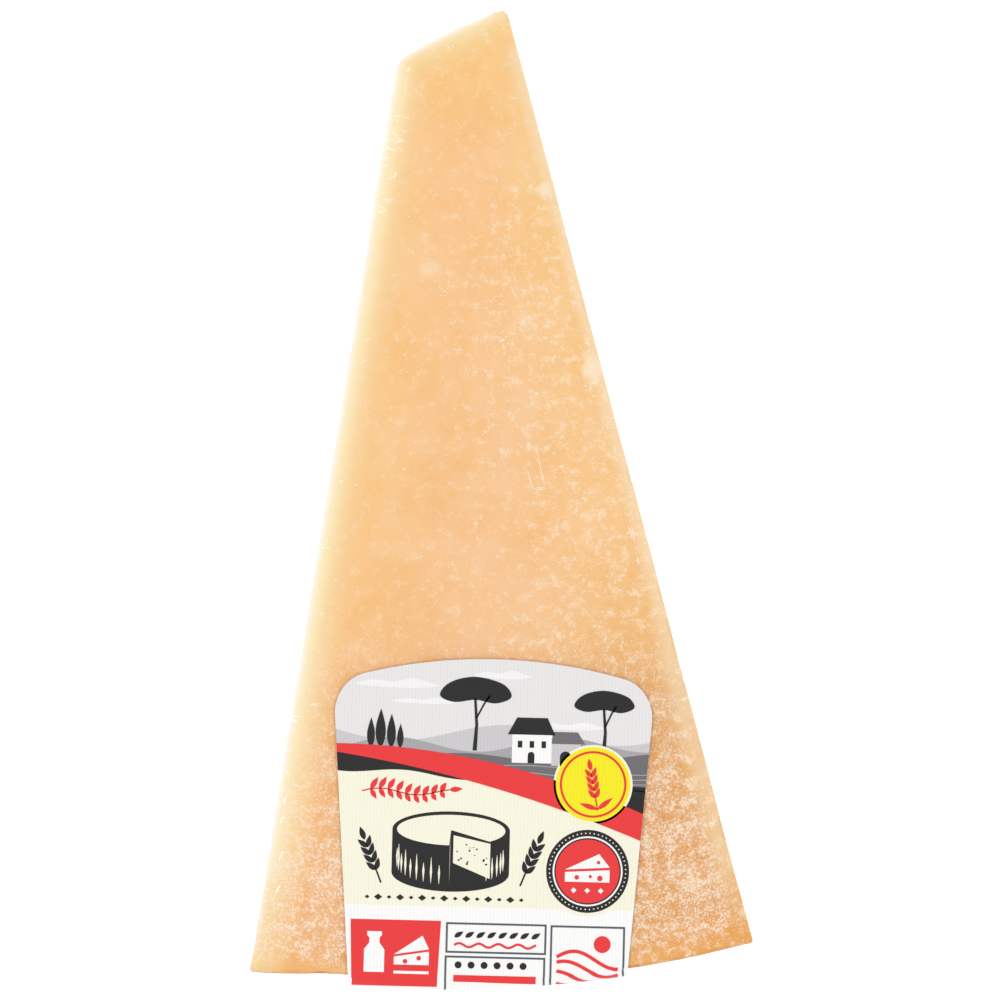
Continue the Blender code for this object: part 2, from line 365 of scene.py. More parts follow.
def calc(tree, operation, *values, clamp=False):
    node = addNode(tree, "ShaderNodeMath", dict(enumerate(values)), operation=operation, use_clamp=clamp)
    return node.outputs[0]


def mixColor(tree, share, first, second):
    return addNode(tree, "ShaderNodeMix", {0: share, 6: first, 7: second}, data_type="RGBA").outputs[2]


def ramp(tree, value, low, high, toLow=0.0, toHigh=1.0):
    inputs = {"Value": value, "From Min": low, "From Max": high, "To Min": toLow, "To Max": toHigh}
    return addNode(tree, "ShaderNodeMapRange", inputs, interpolation_type="SMOOTHSTEP").outputs[0]


def newMaterial(name):
    material = bpy.data.materials.new(name)
    material.use_nodes = True
    tree = material.node_tree
    return material, tree, tree.nodes["Principled BSDF"]


def inMillimetres(tree):
    source = addNode(tree, "ShaderNodeTexCoord").outputs["Object"]
    return addNode(tree, "ShaderNodeMapping", {"Vector": source, "Scale": (1000, 1000, 1000)}).outputs[0]


def noiseTexture(tree, place, scale, detail=2.0, roughness=0.5):
    inputs = {"Vector": place, "Scale": scale, "Detail": detail, "Roughness": roughness}
    return addNode(tree, "ShaderNodeTexNoise", inputs).outputs[0]


def bump(tree, height, strength, distance):
    inputs = {"Height": height, "Strength": strength, "Distance": distance}
    return addNode(tree, "ShaderNodeBump", inputs).outputs[0]


# Makes the material see-through, but for this share of the shader.
def mostlyClear(tree, share, shader):
    clear = addNode(tree, "ShaderNodeBsdfTransparent", {"Color": (1, 1, 1, 1)})
    both = addNode(tree, "ShaderNodeMixShader", {0: share, 1: clear.outputs[0], 2: shader.outputs[0]})
    tree.links.new(both.outputs[0], tree.nodes["Material Output"].inputs[0])


cheeseLook = {
    "underFilm": 0.17,
    "grid": (130, 230, 7, 30),  # steps across, along, round an edge and up a wall
    "relief": [(0.06, 0.06, 3), (0.045, 0.3, 9), (0.03, 0.9, 5)],  # height, waves in a millimetre, seed
    "wobble": 0.12,
    "pitDepth": 0.13,
    "chipDepth": 0.28,  # along the edges
    # colour of the paste by distance from the rind: near the left cut, in the middle, near the right cut
    "pasteLeft": [
        (0, (226, 160, 84)), (1, (240, 178, 100)), (4, (241, 174, 98)), (8, (240, 174, 104)),
        (15, (242, 177, 107)), (30, (245, 183, 114)), (55, (248, 193, 128)), (80, (249, 200, 135)),
        (150, (250, 203, 137)),
    ],
    "pasteMiddle": [
        (0, (226, 160, 84)), (1, (238, 178, 103)), (15, (240, 180, 112)), (65, (247, 194, 136)),
        (95, (248, 197, 140)), (125, (249, 199, 142)), (150, (249, 196, 134)), (164, (249, 198, 120)),
    ],
    "pasteRight": [
        (0, (222, 150, 70)), (1, (236, 166, 78)), (4, (233, 158, 70)), (8, (226, 155, 73)),
        (28, (227, 160, 82)), (45, (230, 170, 98)), (60, (243, 191, 125)), (80, (249, 198, 134)),
        (150, (249, 203, 139)),
    ],
    # painted light: paler bands at the cut edges, standing in for light shining through the thin cheese
    # there, by distance in from the outline
    "leftEdge": [
        (0, (249, 240, 224)), (0.35, (252, 236, 213)), (0.7, (250, 235, 206)), (1.4, (252, 234, 190)),
        (2.1, (250, 228, 177)), (2.8, (251, 221, 167)), (3.5, (250, 215, 160)), (4.4, (250, 209, 150)),
        (5.3, (249, 205, 144)), (7, (249, 202, 140)),
    ],
    "tipEdge": [
        (0, (250, 234, 208)), (0.35, (250, 231, 201)), (0.7, (250, 229, 192)), (1.4, (250, 223, 172)),
        (2.1, (249, 218, 161)), (2.8, (248, 214, 151)), (3.5, (248, 210, 144)), (4.4, (248, 206, 139)),
        (5.3, (249, 203, 136)), (7, (250, 201, 134)),
    ],
    "glowBandsFade": (5.0, 8.5),
    "rightEdgeGlow": (249, 226, 192),
    "rightGlowShare": 0.58,
    # soft pale patches: across and down from the wheel's centre, half sizes, strength
    "patches": [
        (14.5, -75.2, 1.7, 1.4, 0.9), (21.4, -107.2, 2.2, 3.4, 0.9), (-6.6, -88.4, 2.2, 1.7, 0.4),
        (34.1, -199.2, 2.0, 1.6, 0.6), (9.8, -98.0, 1.4, 1.0, 0.4), (15.9, -63.8, 1.0, 1.6, 0.6),
    ],
    "patchColor": (254, 232, 202),
    "blotches": (2, 10, 24),  # how far the paste strays in red, green and blue
    "labelShade": (0.04, 0.07, 0.1),  # painted shade, darker by these shares beside the label
    "labelShadeReach": 2.0,
    "curd": (253, 225, 186),
    "curdShare": 0.5,
    "fleck": (255, 241, 222),
    "fleckShare": 0.5,
    "frost": (253, 236, 216),
    "netShare": 0.8,
    "hazeShare": 0.12,
    "frostFades": (12, 75),  # from the rind
    "grainBegins": (0.25, 0.8),  # share of the way across, from the left cut
    "grainFades": (125, 160),  # from the rind
    "crystal": (255, 247, 234),
    "crystalsPerSquareCm": 9.0,
    "crystalSize": 0.34,
    # crowded crystals: across and down, radius
    "clusters": [
        (5.6, -101.4, 1.7), (9.8, -98.0, 2.2), (-4.2, -92.5, 1.7), (34.1, -199.2, 2.4),
        (14.5, -75.2, 2.0), (32.6, -189.0, 1.8),
    ],
}


# Distances in from the rind and from the three cuts at the front face, and how far across from left to right.
def wedgeDistances(points):
    plan = points[:, :2]
    left, right, slant, leftTip, rightTip = cutLines()
    leftAt = leftTip + outward(left) * wedge["out"][3]
    tipAt = rightTip + outward(slant) * (wedge["out"][2] + wedge["tipBow"] * 0.8)
    far = {
        "rind": wedge["wheelRadius"] - np.linalg.norm(plan, axis=1),
        "right": np.maximum((plan - right * 100) @ outward(right), 0),
        "tip": np.maximum((tipAt - plan) @ outward(slant), 0),
        "left": np.maximum((leftAt - plan) @ outward(left), 0),
    }
    far["across"] = far["left"] / (far["left"] + far["right"] + 1e-6)
    # how far in from the left cut's and the tip's outline, and more quickly down the wall below its rounding
    down = 2.2 * np.maximum(wedge["thickness"] - wedge["frontRounding"][3] - points[:, 2], 0)
    far["leftEdge"], far["tipEdge"] = far["left"] + down, far["tip"] + down
    return far


labelShape = {
    "footAngle": math.radians(-0.7),
    "turn": math.radians(4.2),
    "height": 57.4,
    "tail": 31.0,
    "halfWidth": 24.6,
    "flare": 0.0735,
    "topRise": 4.6,
    "topCorner": 7.5,
    "tailCorner": 4.0,
    "standOff": 0.75,  # from the rind, where it folds over the edge
}


def labelToPlan(flat):
    flat = np.asarray(flat, float)
    turned = rotated(flat[..., 0], flat[..., 1], -labelShape["turn"])
    return polar(wedge["wheelRadius"], labelShape["footAngle"]) + np.stack(turned, axis=-1)


def planToLabel(plan):
    away = plan - polar(wedge["wheelRadius"], labelShape["footAngle"])
    return np.stack(rotated(away[:, 0], away[:, 1], labelShape["turn"]), axis=1)


def labelOutline():
    tail = labelShape["halfWidth"] - labelShape["tail"] * labelShape["flare"]
    shoulder = labelShape["height"] - labelShape["topRise"]
    top = labelShape["halfWidth"] + shoulder * labelShape["flare"]
    low, high = -labelShape["tail"], shoulder
    corners = [np.array(p) for p in ((-tail, low), (tail, low), (top, high), (-top, high))]
    walls = [
        bowed(corners[0], corners[1], 0, 3),
        bowed(corners[1], corners[2], 0, 3),
        bowed(corners[2], corners[3], labelShape["topRise"], 31),
        bowed(corners[3], corners[0], 0, 3),
    ]
    tailCorner, topCorner = labelShape["tailCorner"], labelShape["topCorner"]
    sides = roundedSides(walls, (tailCorner, topCorner, topCorner, tailCorner))[0]
    return np.vstack([side[:-1] for side in sides])


# How far each point lies outside the label's outline, negative inside it.
def labelDistance(points):
    flat = planToLabel(points[:, :2])
    outline = labelOutline()
    following = np.roll(outline, -1, axis=0)
    best = np.full(len(flat), 1e9)
    outside = np.zeros(len(flat), bool)
    for start, end in zip(outline, following):
        along = end - start
        share = np.clip(((flat - start) @ along) / (along @ along), 0, 1)
        best = np.minimum(best, np.linalg.norm(flat - start - share[:, None] * along, axis=1))
        outside |= (flat - start) @ np.array([along[1], -along[0]]) > 0
    return np.where(outside, best, -best)


def shapeCheese():
    look = cheeseLook
    points, normals, faces, side = wedgeBody(*look["grid"])
    far = wedgeDistances(points)
    relief = sum(height * noiseAt(points, perMm, seed) for height, perMm, seed in look["relief"])
    pits = smooth(noiseAt(points, 0.55, 21), 0.38, 0.62)
    relief -= look["pitDepth"] * pits * np.where(side == 0, 0.3, 1.0)
    ridge = np.clip(2 * np.abs(normals[:, 2]) * np.linalg.norm(normals[:, :2], axis=1), 0, 1)
    crisp = np.where((side == 1) | (side == 0), 1.0, 0.25)
    relief -= look["chipDepth"] * ridge * crisp * smooth(noiseAt(points, 0.35, 40), 0.05, 0.5)
    relief += look["wobble"] * noiseAt(points, 0.05, 60) * (1 - np.abs(normals[:, 2]))
    points = points + normals * (relief - look["underFilm"])[:, None]
    points[:, 2] = np.clip(points[:, 2], 0.05, wedge["thickness"] - 0.05)
    return points, normals, faces, side, far


def tintCheese(points, side, far):
    look = cheeseLook
    leftward, rightward = 1 - smooth(far["across"], 0.1, 0.4), smooth(far["across"], 0.6, 0.9)
    middle = 1 - leftward - rightward
    paste = 0
    for table, weight in (("pasteLeft", leftward), ("pasteMiddle", middle), ("pasteRight", rightward)):
        paste = paste + colorAlong(look[table], far["rind"]) * weight[:, None]
    nearFront = smooth(points[:, 2], wedge["thickness"] - 7, wedge["thickness"] - 1.5)
    blotch = 0.55 * noiseAt(points, 0.1, 70) + 0.45 * noiseAt(points, 0.28, 71)
    paste = paste + blotch[:, None] * np.array(look["blotches"])
    for x, y, wide, tall, strength in look["patches"]:
        away = np.hypot((points[:, 0] - x) / wide, (points[:, 1] - y) / tall) + 0.5 * noiseAt(points, 0.7, 33)
        weight = strength * (1 - smooth(away, 0.3, 1.25)) * nearFront
        paste = paste * (1 - weight[:, None]) + np.array(look["patchColor"]) * weight[:, None]
    # painted light: paler along the right cut, standing in for light seen through its edge, and further in by
    # the rind
    low = 1 - smooth(far["rind"], 45, 75)
    paleness = look["rightGlowShare"] * (1 - smooth(far["right"] - low, 0.1, 2.8 + 1.2 * low))
    paleness = paleness * smooth(far["rind"], 0, 16) * (0.15 + 0.85 * nearFront)
    paste = paste * (1 - paleness[:, None]) + np.array(look["rightEdgeGlow"]) * paleness[:, None]
    # the painted glow bands at the left cut and the tip, run into each other at the corner
    along = np.minimum(far["leftEdge"], far["tipEdge"])
    turned = smooth(far["tipEdge"] - far["leftEdge"], -2.0, 3.0)[:, None]
    band = colorAlong(look["leftEdge"], along) * turned + colorAlong(look["tipEdge"], along) * (1 - turned)
    weight = ((1 - smooth(along, *look["glowBandsFade"])) * (0.65 + 0.35 * smooth(far["rind"], 6, 22)))[:, None]
    paste = paste * (1 - weight) + band * weight
    # painted shade on the front face, darkest at the label's edge and fading outwards
    labelShade = np.exp(-np.maximum(labelDistance(points), 0) / look["labelShadeReach"]) * (side == 4)
    paste = paste * (1 - labelShade[:, None] * np.array(look["labelShade"]))
    return linear(np.clip(paste, 0, 255)) / lightLevel


def cheeseMaterial():
    look = cheeseLook
    material, tree, shader = newMaterial("cheesePaste")
    place = inMillimetres(tree)
    tint = addNode(tree, "ShaderNodeAttribute", attribute_name="pasteTint").outputs["Color"]
    frost = addNode(tree, "ShaderNodeAttribute", attribute_name="frost").outputs["Fac"]
    grain = addNode(tree, "ShaderNodeAttribute", attribute_name="grain").outputs["Fac"]
    coarse = noiseTexture(tree, place, 0.5, 5, 0.68)
    fine = noiseTexture(tree, place, 2.8, 2, 0.6)
    hairs = noiseTexture(tree, place, 1.7, 3, 0.65)
    granules = noiseTexture(tree, place, 2.3, 1, 0.5)
    cloud = noiseTexture(tree, place, 0.22, 2, 0.5)
    # soft curds, more of them where the paste is grainy
    curds = ramp(tree, coarse, 0.49, 0.68, 0.0, look["curdShare"])
    curds = calc(tree, "MULTIPLY", curds, ramp(tree, grain, 0, 1, 0.45, 1))
    # a haze of frost, and a broken net of fine granules and strands
    haze = calc(tree, "MULTIPLY", ramp(tree, cloud, 0.46, 0.68, 0.0, look["hazeShare"]), frost)
    patchy = ramp(tree, calc(tree, "MULTIPLY_ADD", cloud, 0.5, coarse), 0.58, 0.84, 0.35, 1.0)
    strands = ramp(tree, calc(tree, "ABSOLUTE", calc(tree, "SUBTRACT", hairs, 0.49)), 0.035, 0.008)
    grains = calc(tree, "MAXIMUM", ramp(tree, granules, 0.5, 0.6), calc(tree, "MULTIPLY", strands, 0.7))
    net = calc(tree, "MULTIPLY", grains, patchy)
    net = calc(tree, "MULTIPLY", net, calc(tree, "MULTIPLY", frost, look["netShare"]))
    # small flecks that crowd where the paste is coarse and grainy
    crowd = calc(tree, "ADD", calc(tree, "MULTIPLY", coarse, 0.8), calc(tree, "MULTIPLY", grain, 0.09))
    flecks = ramp(tree, calc(tree, "ADD", fine, crowd), 1.04, 1.2, 0.0, look["fleckShare"])
    for share, name in ((curds, "curd"), (haze, "frost"), (net, "frost"), (flecks, "fleck")):
        tint = mixColor(tree, share, tint, color(*look[name]))
    setInputs(tree, shader, {"Base Color": tint, "Roughness": 0.55, "Specular IOR Level": 0.25})
    return material


rindLook = {
    "dark": (194, 128, 58),
    "pale": (221, 165, 92),
    "dust": (236, 204, 150),
    "dustShare": 0.4,
}


def rindMaterial():
    material, tree, shader = newMaterial("cheeseRind")
    place = inMillimetres(tree)
    weathered = noiseTexture(tree, place, 0.35, 4, 0.65)
    dark, pale = color(*rindLook["dark"]), color(*rindLook["pale"])
    tint = mixColor(tree, ramp(tree, weathered, 0.35, 0.68), dark, pale)
    dust = noiseTexture(tree, place, 2.2, 3, 0.7)
    dusty = ramp(tree, dust, 0.56, 0.72, 0.0, rindLook["dustShare"])
    tint = mixColor(tree, dusty, tint, color(*rindLook["dust"]))
    relief = bump(tree, dust, 0.3, 0.0003)
    setInputs(tree, shader, {"Base Color": tint, "Roughness": 0.6, "Normal": relief})
    return material


def makeCheese():
    look = cheeseLook
    points, normals, faces, side, far = shapeCheese()
    mesh = meshFrom("cheeseBody", points, faces)
    colorOnPoints(mesh, "pasteTint", tintCheese(points, side, far))
    # no crystals on the rind or underneath
    floatOnPoints(mesh, "bare", ((side == 0) | (side == 5) | (points[:, 2] < 0.8)) * 1.0)
    # frost by the rind, less of it along the right cut
    frost = (1 - smooth(far["rind"], *look["frostFades"])) * smooth(far["rind"], 0.5, 5.0)
    frost = frost * (0.3 + 0.7 * smooth(far["right"], 0.8, 4.5)) + 0.12 * noiseAt(points, 0.07, 80)
    floatOnPoints(mesh, "frost", np.clip(frost, 0, 1))
    # a coarser grain to the right, away from the tip
    grain = smooth(far["across"], *look["grainBegins"]) * (1 - smooth(far["rind"], *look["grainFades"]))
    floatOnPoints(mesh, "grain", np.clip(grain + 0.35 * noiseAt(points, 0.05, 81), 0, 1))
    gaps = [np.hypot(points[:, 0] - x, points[:, 1] - y) / radius for x, y, radius in look["clusters"]]
    crowd = (1 - smooth(np.min(gaps, axis=0), 0.2, 1.0)) * (side == 4)  # on the front face alone
    floatOnPoints(mesh, "crowd", crowd)
    piece = addPiece("cheeseBody", mesh, [cheeseMaterial(), rindMaterial()])
    onRind = (side[faces] == 0).all(axis=1) & (np.abs(normals[faces][:, :, 2]).max(axis=1) < 0.75)
    mesh.polygons.foreach_set("material_index", onRind.astype(np.int32))
    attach(piece, "root")
    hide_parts("cheese")
    print("cheese:", len(points), "points")
    return piece


cheese = makeCheese()


def grainMaterial():
    material, tree, shader = newMaterial("cheeseCrystal")
    setInputs(tree, shader, {"Base Color": color(*cheeseLook["crystal"]), "Roughness": 0.4})
    return material


# A node tree with its named inputs: gives the tree, its input node's sockets and each input's identifier.
def newTree(name, **inputs):
    tree = bpy.data.node_groups.new(name, "GeometryNodeTree")
    tree.interface.new_socket("Geometry", in_out="INPUT", socket_type="NodeSocketGeometry")
    names = {}
    for label, kind in inputs.items():
        socket = tree.interface.new_socket(label, in_out="INPUT", socket_type="NodeSocket" + kind)
        names[label] = socket.identifier
    tree.interface.new_socket("Geometry", in_out="OUTPUT", socket_type="NodeSocketGeometry")
    return tree, addNode(tree, "NodeGroupInput").outputs, names


# Makes what the tree has grown real, gives it its material and hands it out.
def endTree(tree, grown, material, push=None):
    grown = addNode(tree, "GeometryNodeRealizeInstances", {"Geometry": grown}).outputs[0]
    if push is not None:
        grown = addNode(tree, "GeometryNodeSetPosition", {"Geometry": grown, "Offset": push}).outputs[0]
    finished = addNode(tree, "GeometryNodeSetMaterial", {"Geometry": grown, "Material": material})
    addNode(tree, "NodeGroupOutput", {0: finished.outputs[0]})


def namedValue(tree, name):
    return addNode(tree, "GeometryNodeInputNamedAttribute", {"Name": name}, data_type="FLOAT").outputs[0]


def randomVector(tree, low, high, seed):
    inputs = {0: low, 1: high, "Seed": seed}
    return addNode(tree, "FunctionNodeRandomValue", inputs, data_type="FLOAT_VECTOR").outputs[0]


def scaled(tree, vector, factor):
    return addNode(tree, "ShaderNodeVectorMath", {0: vector, "Scale": factor}, operation="SCALE").outputs[0]


def crystalTree(material):
    tree, start, names = newTree("crystals", Density="Float", Size="Float", Seed="Int")
    frost, bare, crowd = (namedValue(tree, name) for name in ("frost", "bare", "crowd"))
    thick = calc(tree, "MULTIPLY_ADD", frost, 2.2, calc(tree, "MULTIPLY_ADD", crowd, 45.0, 0.25))
    thick = calc(tree, "MULTIPLY", thick, calc(tree, "SUBTRACT", 1.0, bare, clamp=True))
    density = calc(tree, "MULTIPLY", thick, start["Density"])
    inputs = {"Mesh": start["Geometry"], "Density": density, "Seed": start["Seed"]}
    spots = addNode(tree, "GeometryNodeDistributePointsOnFaces", inputs)
    grain = addNode(tree, "GeometryNodeMeshIcoSphere", {"Radius": 0.5, "Subdivisions": 1})
    inputs = {
        "Points": spots.outputs["Points"],
        "Instance": grain.outputs["Mesh"],
        "Rotation": randomVector(tree, (0, 0, 0), (6.28, 6.28, 6.28), start["Seed"]),
        "Scale": scaled(tree, randomVector(tree, (0.5, 0.45, 0.35), (1.5, 1.1, 0.8), 3), start["Size"]),
    }
    placed = addNode(tree, "GeometryNodeInstanceOnPoints", inputs)
    # each grain's corners are pushed about, so that no two are alike
    place = addNode(tree, "GeometryNodeInputPosition").outputs[0]
    rough = addNode(tree, "ShaderNodeTexNoise", {"Vector": place, "Scale": 6000.0}).outputs[1]
    inputs = {0: rough, 1: (0.5, 0.5, 0.5)}
    centred = addNode(tree, "ShaderNodeVectorMath", inputs, operation="SUBTRACT").outputs[0]
    push = scaled(tree, centred, calc(tree, "MULTIPLY", start["Size"], 0.7))
    endTree(tree, placed.outputs[0], material, push)
    return tree, names


# Runs a node tree on a mesh, with the named inputs' values, and keeps the result as a plain mesh.
def grow(name, host, treeAndNames, **values):
    tree, names = treeAndNames
    holder = bpy.data.objects.new(name + "Host", host)
    bpy.context.scene.collection.objects.link(holder)
    modifier = holder.modifiers.new(name, "NODES")
    modifier.node_group = tree
    for label, value in values.items():
        modifier[names[label]] = value
    bpy.context.view_layer.update()
    graph = bpy.context.evaluated_depsgraph_get()
    mesh = bpy.data.meshes.new_from_object(holder.evaluated_get(graph))
    mesh.name = name
    bpy.data.objects.remove(holder)
    return mesh


def makeCrystals():
    material = grainMaterial()
    tree = crystalTree(material)
    density = cheeseLook["crystalsPerSquareCm"] * 1e4  # in a square metre
    size = cheeseLook["crystalSize"] * mm
    mesh = grow("cheeseCrystals", cheese.data, tree, Density=density, Size=size, Seed=7)
    piece = addPiece("cheeseCrystals", mesh, [material])
    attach(piece, "root")
    print("crystals:", len(mesh.polygons) // 20)


makeCrystals()


filmLook = {
    "grid": (90, 160, 6, 22),  # steps across, along, round an edge and up a wall
    "slack": 0.05,
    "gloss": 0.2,  # roughness of its shine
    "mostShine": 0.06,
    # the creases' white share is partly real whitening of stretched film and partly painted highlight; their
    # glow is painted highlight
    "creaseShare": 0.4,
    "creasePaintedGlow": 0.25,
    "pleatRadius": 0.065,
    "glintRadius": 0.17,
    # short pleats: along which cut, from and to (share of its length from the rind), how many,
    # shortest, longest, how far in they reach
    "pleats": [
        ("left", 0.06, 0.3, 10, 0.7, 2.0, 3.5), ("left", 0.3, 0.8, 8, 0.4, 1.4, 3.0),
        ("left", 0.84, 0.95, 22, 0.8, 2.2, 2.6), ("right", 0.1, 0.95, 9, 0.5, 1.4, 2.0),
    ],
    # longer folds by their points across and down from the wheel's centre
    "folds": [
        [(9.0, -124.7), (9.3, -126.4), (9.9, -128.0)],
        [(10.8, -121.7), (11.3, -124.6), (11.9, -127.7)],
        [(9.8, -127.9), (10.9, -128.2), (12.1, -128.0)],
        [(10.2, -127.7), (11.2, -127.9), (12.0, -127.6)],
        [(26.2, -135.2), (26.7, -136.6), (26.9, -138.0)],
        [(26.9, -135.6), (27.3, -138.2)],
    ],
    # places where the film shows glints, as small folds made bright partly by the crease material's painted
    # highlight
    "glints": [
        [(5.2, -101.6), (6.1, -101.2)],
        [(27.6, -141.0), (27.8, -142.2)],
        [(-12.2, -71.9), (-11.6, -70.6)],
        [(-37.1, -181.6), (-36.5, -180.1)],
        [(-37.9, -185.1), (-37.1, -183.6)],
        [(-38.4, -191.5), (-37.6, -190.0)],
        [(-39.2, -197.3), (-38.3, -195.7)],
    ],
}


def filmMaterial():
    material, tree, shader = newMaterial("clearFilm")
    tree.nodes.remove(shader)
    wrinkle = noiseTexture(tree, inMillimetres(tree), 0.35, 3, 0.55)
    inputs = {"Color": (1, 1, 1, 1), "Roughness": filmLook["gloss"]}
    inputs["Normal"] = bump(tree, wrinkle, 0.35, 0.0002)
    gloss = addNode(tree, "ShaderNodeBsdfGlossy", inputs)
    fresnel = addNode(tree, "ShaderNodeFresnel", {"IOR": 1.45}).outputs[0]
    mostlyClear(tree, calc(tree, "MINIMUM", fresnel, filmLook["mostShine"]), gloss)
    return material


def makeFilm(material):
    points, normals, faces, _ = wedgeBody(*filmLook["grid"])
    relief = filmLook["slack"] * (noiseAt(points, 0.12, 11) - 0.6) + 0.02 * noiseAt(points, 0.6, 14)
    points = points + normals * relief[:, None]
    points[:, 2] = np.clip(points[:, 2], 0.0, wedge["thickness"])
    piece = addPiece("clearFilm", meshFrom("clearFilm", points, faces), [material])
    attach(piece, "root")
    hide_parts("cheese")
    print("film:", len(points), "points")
    return piece


def pleatTree(material):
    tree, start, names = newTree("pleats", Width="Float")
    curves = addNode(tree, "GeometryNodeMeshToCurve", {0: start["Geometry"]})
    along = addNode(tree, "GeometryNodeSplineParameter").outputs["Factor"]
    taper = calc(tree, "POWER", calc(tree, "SINE", calc(tree, "MULTIPLY", along, math.pi)), 0.6)
    radius = calc(tree, "MULTIPLY", calc(tree, "ADD", taper, 0.05), start["Width"])
    ring = addNode(tree, "GeometryNodeCurvePrimitiveCircle", {"Resolution": 6, "Radius": 1.0})
    inputs = {"Curve": curves.outputs[0], "Profile Curve": ring.outputs[0]}
    inputs.update({"Scale": radius, "Fill Caps": True})
    tube = addNode(tree, "GeometryNodeCurveToMesh", inputs)
    endTree(tree, tube.outputs[0], material)
    return tree, names


def creasePaintedGlintMaterial():
    material, tree, shader = newMaterial("filmCreasePaintedGlint")
    # painted highlight: whitened film that glows a little, so the creases show as bright glints
    setInputs(tree, shader, {"Base Color": (0.95, 0.95, 0.95, 1), "Roughness": 0.25})
    setInputs(tree, shader, {"Emission Color": (1, 1, 1, 1), "Emission Strength": filmLook["creasePaintedGlow"]})
    mostlyClear(tree, filmLook["creaseShare"], shader)
    return material


def fineLine(points):
    points = np.array(points)
    fine = np.linspace(0, len(points) - 1, 4 * len(points))
    return np.column_stack([np.interp(fine, range(len(points)), points[:, axis]) for axis in (0, 1)])


# Short pleats over the cut edges, each a gentle curve that runs in from the edge.
def pleatPaths():
    half = wedge["sliceAngle"] / 2
    pick = random.Random(5)
    paths = []
    for cut, first, last, amount, shortest, longest, reach in filmLook["pleats"]:
        side = -1 if cut == "left" else 1
        along, start = polar(1, side * half), wedge["tipOnLeft"] if side < 0 else wedge["tipOnRight"]
        inwards = outward(along) * side
        for _ in range(amount):
            share = first + (last - first) * pick.random()
            inset = 0.3 + reach * pick.random() ** 1.6
            at = along * (wedge["wheelRadius"] + (start - wedge["wheelRadius"]) * share) + inwards * inset
            turn, long = pick.uniform(-0.7, 0.7), pick.uniform(shortest, longest)
            heading = inwards * math.cos(turn) + along * math.sin(turn)
            sag = outward(heading) * long * pick.uniform(-0.15, 0.15)
            paths.append([at + heading * long * f + sag * 4 * f * (1 - f) for f in np.linspace(0, 1, 6)])
    return paths


# The pleats, a few longer folds and the glints, laid on the film from above.
def makePleats(film, material):
    corners = [vertex.co for vertex in film.data.vertices]
    surface = BVHTree.FromPolygons(corners, [face.vertices for face in film.data.polygons])
    tree = pleatTree(material)
    pleats = pleatPaths() + [fineLine(fold) for fold in filmLook["folds"]]
    glints = [fineLine(glint) for glint in filmLook["glints"]]
    above, down = wedge["thickness"] + 24, Vector((0, 0, -1))
    middle = wedge["thickness"] / 2 * mm  # a line that runs over the edge ends above this height
    for name, lines, radius in (("filmPleats", pleats, "pleatRadius"), ("filmGlints", glints, "glintRadius")):
        verts, edges = [], []
        for line in lines:
            hits = [surface.ray_cast(Vector(toWorld((x, y, above))), down)[0] for x, y in line]
            hits = [hit for hit in hits if hit is not None and hit.z > middle]
            edges += [(len(verts) + k, len(verts) + k + 1) for k in range(len(hits) - 1)]
            verts += hits
        host = bpy.data.meshes.new(name + "Paths")
        host.from_pydata(verts, edges, [])
        mesh = grow(name, host, tree, Width=filmLook[radius] * mm)
        mesh.shade_smooth()
        piece = addPiece(name, mesh, [material])
        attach(piece, "root")
        print(name, len(lines), "with", len(mesh.polygons), "faces")


film = makeFilm(filmMaterial())
makePleats(film, creasePaintedGlintMaterial())


paperLook = {
    "above": 0.12,  # the film
    "thick": 0.16,
    "layer": 0.012,  # of ink, and the printed layers stand on each other
    "foldReach": 5.5,  # how far from the edge it is cut into fine strips, to bend
    "foldCut": 0.3,
    "rindCut": 2.5,
    "laidSpacing": 0.62,
    "laidShade": 0.955,
}
inks = {
    "sky": (234, 231, 231),
    "cloud": (246, 244, 245),
    "haze": (206, 204, 206),
    "hill": (170, 168, 170),
    "field": (112, 110, 113),
    "black": (34, 32, 33),
    "red": (237, 56, 58),
    "cream": (249, 246, 224),
    "white": (252, 251, 250),
    "yellow": (250, 236, 24),
    "slate": (84, 92, 100),
}
printed = {name: [] for name in inks}


def draw(ink, layer, *rings):
    printed[ink].append((layer, [np.asarray(ring, float) for ring in rings]))


def disc(centre, radius, count=48):
    angles = np.linspace(0, 2 * math.pi, count, endpoint=False)
    return np.column_stack([centre[0] + radius * np.cos(angles), centre[1] + radius * np.sin(angles)])


def oval(centre, wide, tall, first=0.0, last=360.0, count=40):
    angles = np.radians(np.linspace(first, last, count, endpoint=last - first < 360))
    return np.column_stack([centre[0] + wide * np.cos(angles), centre[1] + tall * np.sin(angles)])


def block(left, right, bottom, top):
    return [(left, bottom), (right, bottom), (right, top), (left, top)]


def lozenge(x, y, wide, tall):
    return [(x - wide, y), (x, y - tall), (x + wide, y), (x, y + tall)]


# A closed smooth curve through the given points.
def rounded(points, steps=6):
    points = np.asarray(points, float)
    count = len(points)
    made = []
    for k in range(count):
        p0, p1, p2, p3 = (points[(k + j - 1) % count] for j in range(4))
        bend, twist = 2 * p0 - 5 * p1 + 4 * p2 - p3, 3 * p1 - p0 - 3 * p2 + p3
        for f in np.arange(steps) / steps:
            made.append(0.5 * (2 * p1 + (p2 - p0) * f + bend * f**2 + twist * f**3))
    return np.array(made)


def stroke(path, widths):
    path = np.asarray(path, float)
    widths = np.broadcast_to(widths, len(path))[:, None]
    along = np.gradient(path, axis=0)
    across = np.column_stack([-along[:, 1], along[:, 0]])
    across = across / np.linalg.norm(across, axis=1)[:, None]
    return np.vstack([path - across * widths / 2, (path + across * widths / 2)[::-1]])


